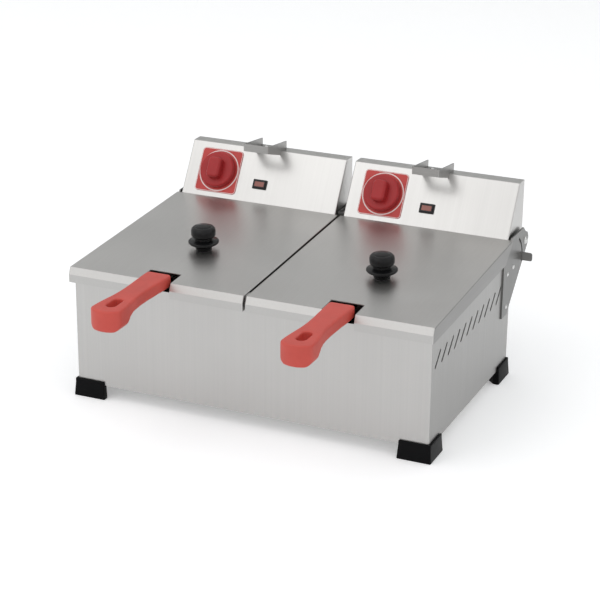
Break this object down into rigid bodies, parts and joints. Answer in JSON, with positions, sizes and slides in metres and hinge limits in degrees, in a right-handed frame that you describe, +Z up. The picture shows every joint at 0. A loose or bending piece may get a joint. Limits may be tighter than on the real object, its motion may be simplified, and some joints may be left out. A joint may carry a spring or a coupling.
{
  "type": "deep fryer",
  "caption": "Twin-tank countertop electric deep fryer in stainless sheet, with tilting control heads, lift-off lids and wire baskets with moulded handles.",
  "frame": {"origin": "on the table under the middle of the outline", "axes": "+X to the right seen from the front, +Y towards the control heads at the rear, +Z up"},
  "size_m": [0.533, 0.521, 0.2845],
  "materials": {
    "casing_steel": "satin brushed stainless sheet",
    "lid_steel": "brushed stainless sheet",
    "head_steel": "satin stainless sheet",
    "bracket_steel": "plain stainless strip",
    "tank_steel": "drawn stainless pan",
    "fastener_steel": "plated rivets and screws",
    "element_steel": "oxidised heater tube",
    "basket_wire": "tinned wire",
    "foot_black": "matt moulded boot",
    "grip_red": "moulded heat-resistant plastic",
    "dial_red": "moulded control knob",
    "dial_face": "printed dial plate",
    "lid_knob_black": "moulded phenolic knob",
    "lamp_black": "lamp bezel",
    "lamp_red": "tinted lamp window",
    "gland_black": "cord gland",
    "thermostat_body": "moulded switch body"
  },
  "bodies": {
    "chassis": {"body_shell": "casing_steel", "back_panel": "casing_steel", "base_plate": "casing_steel", "tank_deck": "tank_steel", "foot_screws": "fastener_steel", "hinge_bracket_center": "bracket_steel", "pivot_screws": "fastener_steel", "plate_rivets": "fastener_steel", "latch_pins": "fastener_steel", "foot_front_left": "foot_black", "foot_rear_left": "foot_black", "tank_left": "tank_steel", "hinge_plate_left": "casing_steel", "foot_front_right": "foot_black", "foot_rear_right": "foot_black", "tank_right": "tank_steel", "hinge_plate_right": "casing_steel"},
    "head_left": {"head_shell_left": "head_steel", "head_back_left": "head_steel", "head_base_left": "head_steel", "dial_plate_left": "dial_face", "thermostat_left": "thermostat_body", "pilot_bezel_left": "lamp_black", "pilot_lens_left": "lamp_red", "hanger_bracket_left": "bracket_steel", "hanger_rivets_left": "fastener_steel", "heating_element_left": "element_steel", "element_glands_left": "fastener_steel", "sensor_bulb_left": "fastener_steel", "cable_gland_left": "gland_black"},
    "basket_left": {"basket_mesh_left": "basket_wire", "basket_frame_left": "basket_wire", "handle_tang_left": "bracket_steel", "handle_grip_left": "grip_red"},
    "lid_left": {"lid_panel_left": "lid_steel", "lid_knob_left": "lid_knob_black"},
    "knob_left": {"thermostat_knob_left": "dial_red"},
    "latch_left": {"latch_lever_left": "bracket_steel"},
    "head_right": {"head_shell_right": "head_steel", "head_back_right": "head_steel", "head_base_right": "head_steel", "dial_plate_right": "dial_face", "thermostat_right": "thermostat_body", "pilot_bezel_right": "lamp_black", "pilot_lens_right": "lamp_red", "hanger_bracket_right": "bracket_steel", "hanger_rivets_right": "fastener_steel", "heating_element_right": "element_steel", "element_glands_right": "fastener_steel", "sensor_bulb_right": "fastener_steel", "cable_gland_right": "gland_black"},
    "basket_right": {"basket_mesh_right": "basket_wire", "basket_frame_right": "basket_wire", "handle_tang_right": "bracket_steel", "handle_grip_right": "grip_red"},
    "lid_right": {"lid_panel_right": "lid_steel", "lid_knob_right": "lid_knob_black"},
    "knob_right": {"thermostat_knob_right": "dial_red"},
    "latch_right": {"latch_lever_right": "bracket_steel"}
  },
  "joints": [
    {"name": "head_tilt_left", "type": "hinge", "parent": "chassis", "child": "head_left", "pos_m": [-0.12665, 0.2485, 0.179], "axis": [-1, 0, 0], "range_deg": [0, 85]},
    {"name": "basket_lift_left", "type": "slide", "parent": "head_left", "child": "basket_left", "axis": [0, -0.309, 0.9511], "range_m": [0, 0.18]},
    {"name": "lid_lift_left", "type": "slide", "parent": "basket_left", "child": "lid_left", "axis": [0, -0.309, 0.9511], "range_m": [0, 0.12]},
    {"name": "thermostat_turn_left", "type": "hinge", "parent": "head_left", "child": "knob_left", "pos_m": [-0.19605, 0.20336, 0.23172], "axis": [0, 0.8545, -0.5195], "range_deg": [0, 270]},
    {"name": "latch_swing_left", "type": "hinge", "parent": "chassis", "child": "latch_left", "pos_m": [-0.25, 0.1965, 0.157], "axis": [1, 0, 0], "range_deg": [0, 44]},
    {"name": "head_tilt_right", "type": "hinge", "parent": "chassis", "child": "head_right", "pos_m": [0.12665, 0.2485, 0.179], "axis": [-1, 0, 0], "range_deg": [0, 85]},
    {"name": "basket_lift_right", "type": "slide", "parent": "head_right", "child": "basket_right", "axis": [0, -0.309, 0.9511], "range_m": [0, 0.18]},
    {"name": "lid_lift_right", "type": "slide", "parent": "basket_right", "child": "lid_right", "axis": [0, -0.309, 0.9511], "range_m": [0, 0.12]},
    {"name": "thermostat_turn_right", "type": "hinge", "parent": "head_right", "child": "knob_right", "pos_m": [0.05725, 0.20336, 0.23172], "axis": [0, 0.8545, -0.5195], "range_deg": [0, 270]},
    {"name": "latch_swing_right", "type": "hinge", "parent": "chassis", "child": "latch_right", "pos_m": [0.25, 0.1965, 0.157], "axis": [1, 0, 0], "range_deg": [0, 44]}
  ]
}
